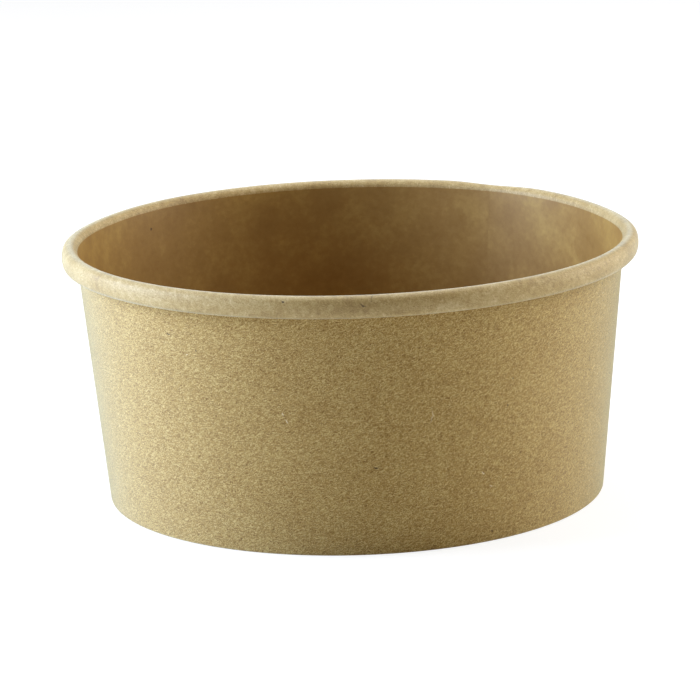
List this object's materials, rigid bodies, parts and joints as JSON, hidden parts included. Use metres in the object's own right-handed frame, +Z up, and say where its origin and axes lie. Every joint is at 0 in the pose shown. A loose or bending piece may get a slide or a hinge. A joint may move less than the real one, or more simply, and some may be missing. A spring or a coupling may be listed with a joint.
{
  "type": "paper ice cream tub",
  "caption": "Round open tub of brown board with a tapered lapped side wall, an outward rolled rim and a raised floor held in the folded foot.",
  "frame": {"origin": "centre of the foot, on the surface that the tub stands on", "axes": "+Z up the tub's axis to the open mouth; the lapped side seam is at the back on the right, 57 degrees from +X towards +Y"},
  "size_m": [0.15, 0.15, 0.068],
  "materials": {
    "kraft_board": "uncoated brown kraft outside, faint sheen of a thin film inside",
    "kraft_base_board": "brown kraft with a faint sheen of a thin film on top"
  },
  "bodies": {
    "root": {"side_wall": "kraft_board", "base_disc": "kraft_base_board"}
  },
  "joints": []
}
